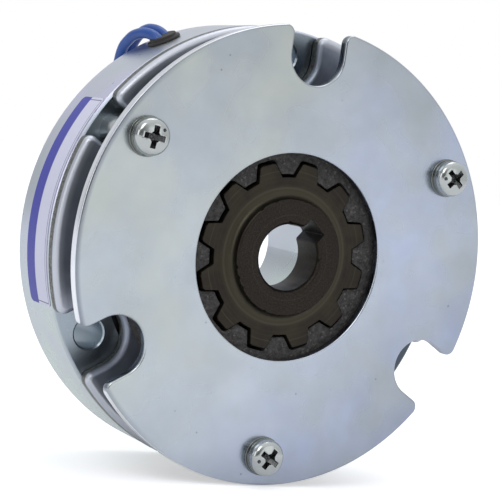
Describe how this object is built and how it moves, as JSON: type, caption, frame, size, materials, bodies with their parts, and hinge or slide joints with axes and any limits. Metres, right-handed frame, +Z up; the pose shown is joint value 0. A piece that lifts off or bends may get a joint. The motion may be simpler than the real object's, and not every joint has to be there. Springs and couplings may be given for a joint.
{
  "type": "spring-applied disc brake",
  "caption": "Round motor brake: coil housing with leads, sprung armature and front plate that clamp a friction disc on a toothed, keyed hub.",
  "frame": {"origin": "centre of the mounting bolt circle, on the field's back face", "axes": "+Y along the brake's axis, out of the back face towards the motor; the front plate faces -Y; +Z up, through one mounting hole"},
  "size_m": [0.083, 0.0775, 0.0826],
  "materials": {
    "zinc_steel": "bright zinc plating, satin, faint clouds",
    "nickel_steel": "nickel plating, polished",
    "black_oxide_steel": "black oxide, oiled",
    "spring_steel": "drawn wire",
    "friction_lining": "moulded, granular, matt",
    "enamelled_copper": "enamelled wire",
    "bobbin_plastic": "moulded",
    "potting_resin": "cast resin",
    "black_rubber": "moulded, matt",
    "blue_insulation": "extruded, smooth",
    "tinned_copper": "tinned strands",
    "label_film": "white film with a blue-violet band"
  },
  "bodies": {
    "field": {"field_core": "zinc_steel", "coil_bobbin": "bobbin_plastic", "coil_winding": "enamelled_copper", "coil_potting": "potting_resin", "torque_spring_1": "spring_steel", "torque_spring_2": "spring_steel", "torque_spring_3": "spring_steel", "torque_spring_4": "spring_steel", "torque_spring_5": "spring_steel", "torque_spring_6": "spring_steel", "front_plate": "zinc_steel", "spacer_1": "nickel_steel", "spacer_2": "nickel_steel", "spacer_3": "nickel_steel", "plate_screw_1": "nickel_steel", "plate_screw_2": "nickel_steel", "plate_screw_3": "nickel_steel", "spring_washer_1": "nickel_steel", "spring_washer_2": "nickel_steel", "spring_washer_3": "nickel_steel", "plain_washer_1": "nickel_steel", "plain_washer_2": "nickel_steel", "plain_washer_3": "nickel_steel", "lead_grommet": "black_rubber", "lead_1": "blue_insulation", "lead_2": "blue_insulation", "lead_coil": "blue_insulation", "lead_tips": "tinned_copper", "label": "label_film"},
    "armature": {"armature": "zinc_steel"},
    "hub": {"hub": "black_oxide_steel"},
    "rotor": {"rotor": "friction_lining"}
  },
  "joints": [
    {"name": "armature_release", "type": "slide", "parent": "field", "child": "armature", "axis": [0, 1, 0], "range_m": [0, 0.0002], "stiffness_N_per_m": 24000, "springref_m": -0.001, "deforming": ["torque_spring_1", "torque_spring_2", "torque_spring_3", "torque_spring_4", "torque_spring_5", "torque_spring_6"]},
    {"name": "hub_turn", "type": "hinge", "parent": "field", "child": "hub", "pos_m": [0, 0, 0], "axis": [0, 1, 0], "continuous": true},
    {"name": "rotor_float", "type": "slide", "parent": "hub", "child": "rotor", "axis": [0, 1, 0], "range_m": [0, 0.0001]}
  ],
  "couplings": [
    {"joint": "rotor_float", "follows": "armature_release", "ratio": 0.5}
  ]
}
